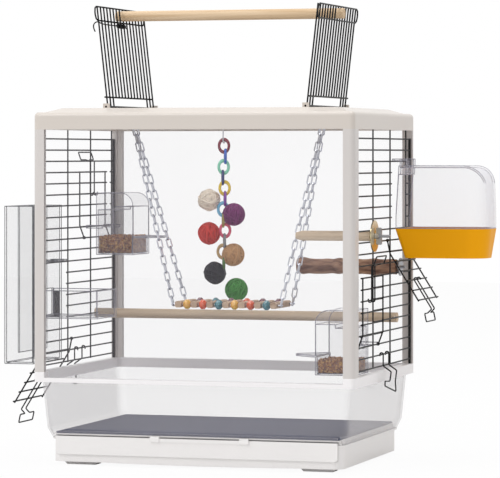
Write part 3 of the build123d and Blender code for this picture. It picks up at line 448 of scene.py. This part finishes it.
print("solid finishes ready, wire nodes", len(wire_nodes))

# %% Clear finishes
clear_panel = clear_sheet("clear_panel", colour(222, 218, 226), 0.025, 0.6)
clear_tub = clear_sheet("clear_tub", colour(222, 219, 221), 0.07, 0.6, 0.12)
clear_cup = clear_sheet("clear_cup", colour(206, 204, 216), 0.05, 0.4)
clear_dome = clear_sheet("clear_dome", colour(216, 214, 226), 0.06, 0.45)
clear_hopper = clear_sheet("clear_hopper", colour(206, 206, 212), 0.03, 0.16)
finish(clear_panel, "front_panel", "rear_panel")
finish(clear_tub, "base_tub", "drawer_window")
finish(clear_cup, "upper_left_feeder", "lower_right_feeder")
finish(clear_dome, "bath_dome")
finish(clear_hopper, "hopper_box", "hopper_tray")

# %% Wood and bead finishes
pale_dowel = wooden("pale_dowel", colour(232, 208, 176), colour(200, 168, 128))
perch_wood = wooden("perch_wood", colour(226, 208, 184), colour(194, 170, 142))
slat_wood = wooden("slat_wood", colour(210, 184, 158), colour(176, 146, 122), 30.0, 120.0)
finish(pale_dowel, "top_perch")
finish(perch_wood, "long_perch", "short_perch")
finish(slat_wood, "swing_slats")


def bead_finish(name, base):
    """Glassy coloured plastic that lets a little light through."""
    material = moulded(name, base, 0.18, 0.15, 0.02, 120.0, coat=0.5)
    shader = material.node_tree.nodes["Principled BSDF"]
    shader.inputs["Subsurface Weight"].default_value = 0.25
    shader.inputs["Subsurface Scale"].default_value = 0.004
    return material


finish(bead_finish("bead_yellow", colour(232, 178, 66)), "beads_yellow")
finish(bead_finish("bead_orange", colour(224, 92, 44)), "beads_orange")
finish(bead_finish("bead_teal", colour(60, 126, 138)), "beads_teal")
finish(bead_finish("bead_dark", colour(110, 44, 66)), "beads_dark")
print("clear, wood and bead finishes ready")

# %% [markdown]
# ## Vine balls
# Each ball of the toy is wound from thin dyed vine strands. A plain sphere would look like
# a marble, so each ball is a core with many thin rings round it at seeded random angles.
# The core is painted a little darker than the strands: painted shade in the gaps between
# them. Each ring is spun from a small circle and then turned.


# %% Vine ball builder
strand_count = 24
strand_thinnest = 0.001
strand_thickest = 0.0017
strand_depth = 0.0024
core_share = 0.84
core_roughness = 0.08
# core_shade darkens the core's colour: painted shade in the gaps between the strands.
core_shade = 0.92


def wind_ring(shape, middle, radius, thick, turn, segments=26, sides=5):
    """One strand ring, spun from a small circle and turned about the ball's middle."""
    place = Matrix.Translation((radius, 0, 0)) @ Matrix.Rotation(math.radians(90), 4, "X")
    made = bmesh.ops.create_circle(shape, segments=sides, radius=thick, matrix=place)
    edges = [edge for edge in shape.edges if all(v in made["verts"] for v in edge.verts)]
    before = set(shape.verts) - set(made["verts"])
    bmesh.ops.spin(
        shape,
        geom=made["verts"] + edges,
        cent=(0, 0, 0),
        axis=(0, 0, 1),
        angle=math.radians(360),
        steps=segments,
        use_merge=True,
    )
    verts = [v for v in shape.verts if v not in before]
    fit = Matrix.Translation(middle) @ turn.to_matrix().to_4x4()
    bmesh.ops.transform(shape, matrix=fit, verts=verts)


def vine_ball(node, strand, core):
    """A wound ball in place of a measured sphere."""
    low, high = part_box(node)
    middle = (low + high) / 2
    radius = (high.x - low.x) / 2
    rng = random.Random(node)
    shape = bmesh.new()
    for _ in range(strand_count):
        turn = Euler([rng.uniform(0, math.tau) for axis in range(3)])
        thick = rng.uniform(strand_thinnest, strand_thickest)
        size = radius - thick - rng.uniform(0.0, strand_depth)
        wind_ring(shape, middle, size, thick, turn)
    ball = new_object(node + "_wound", mesh_from(node, shape))
    ball.data.materials.append(strand)
    heart = bmesh.new()
    bmesh.ops.create_icosphere(heart, subdivisions=3, radius=radius * core_share)
    for vert in heart.verts:
        vert.co *= 1 + core_roughness * noise.noise(vert.co * 240)
    bmesh.ops.translate(heart, vec=middle, verts=heart.verts)
    inside = new_object(node + "_core", mesh_from(node + "_core", heart))
    inside.data.materials.append(core)
    for piece in (ball, inside):
        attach(piece, "toy")
        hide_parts(node)


ball_colours = {
    "white": (246, 234, 218),
    "purple": (122, 40, 108),
    "red": (222, 58, 46),
    "tan": (200, 156, 112),
    "black": (36, 38, 46),
    "green": (66, 146, 58),
}
for name, shades in ball_colours.items():
    strand = moulded(name + "_vine", colour(*shades), 0.5, 0.5, 0.3, 500.0, shine=0.25)
    # The core's colour is the strand colour darkened: painted shade in the gaps between strands.
    core_painted_shade = colour(*[part * core_shade for part in shades])
    core = moulded(name + "_vine_shade", core_painted_shade, 0.8, 0.6, 0.6, 700.0, shine=0.1)
    vine_ball(name + "_vine_ball", strand, core)
print("vine balls", len(ball_colours))

# %% [markdown]
# ## Coloured links
# The balls hang on a chain of oval plastic links, each turned a quarter against the next.
# A link is a ring spun from a small circle and then drawn out into an oval.

# %% Toy links
link_colours = [
    (128, 22, 50),
    (34, 92, 190),
    (140, 222, 190),
    (30, 44, 110),
    (240, 206, 40),
    (132, 62, 170),
    (120, 196, 236),
    (168, 150, 78),
    (232, 84, 120),
    (136, 140, 146),
    (206, 172, 118),
    (84, 130, 56),
]
link_pitch = 0.0155
link_x = -0.036 + side_shift
link_y = 0.096
link_top = 0.4485
link_radius = 0.0072
link_wire = 0.0021
link_stretch = 1.28
link_sway = 0.002
for index, shades in enumerate(link_colours):
    shape = bmesh.new()
    lengthen = Euler((math.radians(90), 0, math.radians(20 + 90 * (index % 2))))
    wind_ring(shape, Vector((0, 0, 0)), link_radius, link_wire, lengthen, 30, 8)
    bmesh.ops.scale(shape, vec=(1, 1, link_stretch), verts=shape.verts)
    sway = link_sway * math.sin(index * 1.7)
    place = Vector((link_x + sway, link_y, link_top - index * link_pitch))
    bmesh.ops.translate(shape, vec=place, verts=shape.verts)
    ring = new_object(f"toy_link_{index + 1:02d}", mesh_from("toy_link", shape))
    plastic = moulded(f"link_colour_{index + 1:02d}", colour(*shades), 0.25, 0.1, 0.02, coat=0.3)
    ring.data.materials.append(plastic)
    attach(ring, "toy")
    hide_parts("toy_links")
print("toy links", len(link_colours))

# %% [markdown]
# ## Seed
# The cups hold mixed seed: small rounded grains in browns and ochres. A brown block alone
# looks like clay, so each block is kept a little smaller and its sides and top are covered
# with a few hundred grains, each a coarse ball pressed into an oval.

# %% Seed finishes
def seed_finish():
    """Grain colours picked per patch, from pale ochre to dark brown."""
    material, tree, shader = new_material("mixed_seed")
    place = tree.nodes.new("ShaderNodeTexCoord")
    cells = tree.nodes.new("ShaderNodeTexVoronoi")
    cells.inputs["Scale"].default_value = 420.0
    tree.links.new(place.outputs["Object"], cells.inputs["Vector"])
    pick = tree.nodes.new("ShaderNodeSeparateColor")
    tree.links.new(cells.outputs["Color"], pick.inputs[0])
    ramp = tree.nodes.new("ShaderNodeValToRGB")
    ramp.color_ramp.elements[0].color = colour(110, 62, 24)
    ramp.color_ramp.elements[1].color = colour(228, 180, 100)
    middle = ramp.color_ramp.elements.new(0.55)
    middle.color = colour(172, 110, 50)
    tree.links.new(pick.outputs[0], ramp.inputs["Fac"])
    tree.links.new(ramp.outputs["Color"], shader.inputs["Base Color"])
    bump = tree.nodes.new("ShaderNodeBump")
    bump.inputs["Strength"].default_value = 0.6
    bump.inputs["Distance"].default_value = 0.001
    tree.links.new(cells.outputs["Distance"], bump.inputs["Height"])
    tree.links.new(bump.outputs["Normal"], shader.inputs["Normal"])
    shader.inputs["Roughness"].default_value = 0.55
    return material


mixed_seed = seed_finish()
grain_count = 620


# %% Seed heaps
def seed_heap(name, low, high):
    """A block of seed with loose grains over its faces."""
    rng = random.Random(name)
    size = high - low
    shape = bmesh.new()
    bmesh.ops.create_cube(shape, size=1.0)
    bmesh.ops.scale(shape, vec=size - Vector((0.003, 0.003, 0.004)), verts=shape.verts)
    bmesh.ops.translate(shape, vec=(low + high) / 2 - Vector((0, 0, 0.001)), verts=shape.verts)
    grain = Vector((0.0009, 0.0009, 0.0016))
    for _ in range(grain_count):
        spot = Vector([rng.uniform(low[axis] + 0.002, high[axis] - 0.002) for axis in range(3)])
        face = rng.choice((0, 0, 1, 1, 2))
        near = rng.random() < 0.5 and face != 2
        spot[face] = (low[face] + 0.0013) if near else (high[face] - 0.0022)
        made = bmesh.ops.create_icosphere(shape, subdivisions=1, radius=1.0)
        turn = Euler([rng.uniform(0, math.tau) for _ in range(3)]).to_matrix().to_4x4()
        fit = Matrix.Translation(spot) @ turn @ Matrix.Diagonal((*grain, 1.0))
        bmesh.ops.transform(shape, matrix=fit, verts=made["verts"])
    heap = new_object(name, mesh_from(name, shape))
    heap.data.materials.append(mixed_seed)
    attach(heap, "cage")
    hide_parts("seed_fill")


seed_low, seed_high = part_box("seed_fill")
seed_span = 0.053
seed_rise = 0.022
seed_heaped = 0.006
left_low = Vector((seed_low.x, 0.0365, seed_high.z - seed_rise))
left_high = Vector((seed_low.x + seed_span, 0.1055, seed_high.z + seed_heaped))
seed_heap("left_seed_heap", left_low, left_high)
right_low = Vector((seed_high.x - seed_span, -0.0895, seed_low.z))
right_high = Vector((seed_high.x, -0.0205, seed_low.z + seed_rise))
seed_heap("right_seed_heap", right_low, right_high)
print("seed heaps", seed_low[:], seed_high[:])

# %% [markdown]
# ## Natural branch perch
# The thick perch is a real branch, with knots and worn bark. It starts as a round bar with
# many cuts along it, and its skin is pushed in and out by noise, more at the knots.

# %% Branch
branch_low, branch_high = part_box("natural_perch")
branch_axis = (branch_low + branch_high) / 2
branch_length = branch_high.x - branch_low.x
branch_radius = 0.0112
branch_cuts = 60
knot_height = 0.15
bark_depth = 0.12
branch_trim = 0.04
shape = bmesh.new()
lay = Matrix.Translation(branch_axis) @ Matrix.Rotation(math.radians(90), 4, "Y")
bmesh.ops.create_cone(
    shape,
    cap_ends=True,
    segments=28,
    radius1=branch_radius,
    radius2=branch_radius,
    depth=branch_length,
    matrix=lay,
)
long_edges = [
    edge for edge in shape.edges if abs(edge.verts[0].co.x - edge.verts[1].co.x) > 0.01
]
bmesh.ops.subdivide_edges(shape, edges=long_edges, cuts=branch_cuts)
for vert in shape.verts:
    out_from_axis = Vector((0, vert.co.y - branch_axis.y, vert.co.z - branch_axis.z))
    knots = knot_height * max(0.0, math.sin((vert.co.x - branch_low.x) * 118 + 0.6)) ** 4
    rough = bark_depth * noise.noise(Vector((vert.co.x * 75, vert.co.y * 120, vert.co.z * 120)))
    vert.co += out_from_axis * (knots + rough - branch_trim)
branch = new_object("natural_branch", mesh_from("natural_branch", shape))
branch_wood = wooden("branch_wood", colour(188, 148, 120), colour(84, 48, 38), 34.0, 150.0, 0.6)
branch.data.materials.append(branch_wood)
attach(branch, "cage")
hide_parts("natural_perch")
print("branch", len(branch.data.vertices))

# %% [markdown]
# ## Latch and spring on the left roof gate
# A thin wire latch with a coil spring lies across the left gate near its head. It looks made
# to lock the two gates together when they are shut. The rod and the spring are curves with a
# round bevel, turned into meshes so that they export like everything else.


# %% Wire helpers
def bevelled_curve(name, radius, resolution):
    """An empty curve that becomes a capped wire."""
    curve = bpy.data.curves.new(name, "CURVE")
    curve.dimensions = "3D"
    curve.bevel_depth = radius
    curve.bevel_resolution = resolution
    curve.use_fill_caps = True
    return curve


def mesh_of_curve(curve):
    """A curve and its bevel turned into a mesh."""
    holder = bpy.data.objects.new(curve.name + "_path", curve)
    bpy.context.collection.objects.link(holder)
    graph = bpy.context.evaluated_depsgraph_get()
    mesh = bpy.data.meshes.new_from_object(holder.evaluated_get(graph))
    bpy.data.objects.remove(holder)
    return mesh


def wire_piece(name, points, radius, material, body, smooth=False):
    """A round wire through the given points."""
    curve = bevelled_curve(name, radius, 2)
    spline = curve.splines.new("NURBS" if smooth else "POLY")
    spline.points.add(len(points) - 1)
    for point, place in zip(spline.points, points):
        point.co = (*place, 1.0)
    if smooth:
        spline.order_u = 3
        spline.use_endpoint_u = True
    piece = new_object(name, mesh_of_curve(curve))
    piece.data.materials.clear()
    piece.data.materials.append(material)
    for face in piece.data.polygons:
        face.use_smooth = True
    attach(piece, body)


# %% Latch and spring
lean = math.radians(6.5)
hinge = Vector((-0.1465 + side_shift, 0, 0.5034))


def on_left_gate(off, y, up):
    """A place on the left gate: outward from its wires, along it, and up from its hinge."""
    x = hinge.x - up * math.sin(lean) - off * math.cos(lean)
    z = hinge.z + up * math.cos(lean) - off * math.sin(lean)
    return Vector((x, y, z))


latch_off = 0.0052
latch_up = 0.1195
rod_points = [
    on_left_gate(latch_off, -0.104, latch_up - 0.012),
    on_left_gate(latch_off + 0.003, -0.106, latch_up - 0.004),
    on_left_gate(latch_off, -0.094, latch_up + 0.004),
    on_left_gate(latch_off, -0.070, latch_up),
    on_left_gate(latch_off, -0.02, latch_up),
    on_left_gate(latch_off, 0.03, latch_up),
    on_left_gate(latch_off, 0.036, latch_up - 0.004),
]
wire_piece("gate_latch_rod", rod_points, 0.0009, black_wire, "roof_gate_left", smooth=True)
coil_turns = 12
coil_steps = 12
coil_start = -0.004
coil_length = 0.026
coil_radius = 0.0029
coil_points = []
for step in range(coil_turns * coil_steps + 1):
    angle = math.tau * step / coil_steps
    along = coil_start + coil_length * step / (coil_turns * coil_steps)
    off = latch_off + coil_radius * math.cos(angle)
    coil_points.append(on_left_gate(off, along, latch_up + coil_radius * math.sin(angle)))
wire_piece("gate_latch_spring", coil_points, 0.0006, black_wire, "roof_gate_left", smooth=True)
print("latch and spring ready")

# %% [markdown]
# ## Hook of the toy
# A small bright S-hook carries the chain of links on the wire under the roof. It is one
# smooth curve that goes over the wire and under the bar of the first link.

# %% Toy hook
wire_top = 0.478
link_bar = link_top + link_radius * link_stretch
hook_route = [
    (0.0036, wire_top - 0.001),
    (0.0036, wire_top + 0.0034),
    (-0.0036, wire_top + 0.0034),
    (-0.0034, wire_top - 0.003),
    (-0.0048, link_bar + 0.002),
    (-0.0044, link_bar - 0.0052),
    (0.0044, link_bar - 0.0052),
    (0.0048, link_bar + 0.001),
]
hook_points = [Vector((link_x, link_y + along, up)) for along, up in hook_route]
wire_piece("toy_hook", hook_points, 0.0009, nickel_metal, "toy", smooth=True)
print("toy hook", round(link_bar, 4))

# %% [markdown]
# ## Edges of the clear pieces
# Clear plastic is seen mostly at its edges, where the eye looks through much more of it. So
# each clear box, cup and dome gets a thin grey line along every sharp edge. The edges are
# read from a merged copy of the measured mesh: its flat edges are dissolved, and each sharp
# edge that is left becomes a short fine rod just inside the outer faces.

# %% Edge line builder
def edge_lines(node, body, material, radius=0.0006, sharp=35.0):
    """Fine rods along the sharp edges of a clear piece."""
    low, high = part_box(node)
    middle = (low + high) / 2
    size = high - low
    shape = bmesh.new()
    shape.from_mesh(nodes[node].data)
    bmesh.ops.remove_doubles(shape, verts=shape.verts, dist=0.00001)
    flat = math.radians(3)
    bmesh.ops.dissolve_limit(shape, angle_limit=flat, verts=shape.verts, edges=shape.edges)
    curve = bevelled_curve(node + "_edges", radius, 0)
    inward = [1 - 2 * radius / size[axis] for axis in range(3)]
    for edge in shape.edges:
        if len(edge.link_faces) != 2 or edge.calc_face_angle(0) < math.radians(sharp):
            continue
        spline = curve.splines.new("POLY")
        spline.points.add(1)
        for point, vert in zip(spline.points, edge.verts):
            out = vert.co - middle
            place = middle + Vector([out[axis] * inward[axis] for axis in range(3)])
            point.co = (*place, 1.0)
    shape.free()
    piece = new_object(node + "_edge_lines", mesh_of_curve(curve))
    piece.data.materials.clear()
    piece.data.materials.append(material)
    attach(piece, body)
    return piece


# %% Edge lines
edge_grey = clear_sheet("edge_grey", colour(104, 106, 112), 0.7, 0.85)
edge_pale = clear_sheet("edge_pale", colour(176, 175, 188), 0.55, 0.75)
for node, body, material in (
    ("hopper_box", "hopper", edge_grey),
    ("hopper_tray", "hopper", edge_pale),
    ("bath_dome", "bath", edge_pale),
    ("upper_left_feeder", "cage", edge_pale),
    ("lower_right_feeder", "cage", edge_pale),
):
    lines = edge_lines(node, body, material)
    print(lines.name, "faces", len(lines.data.polygons))
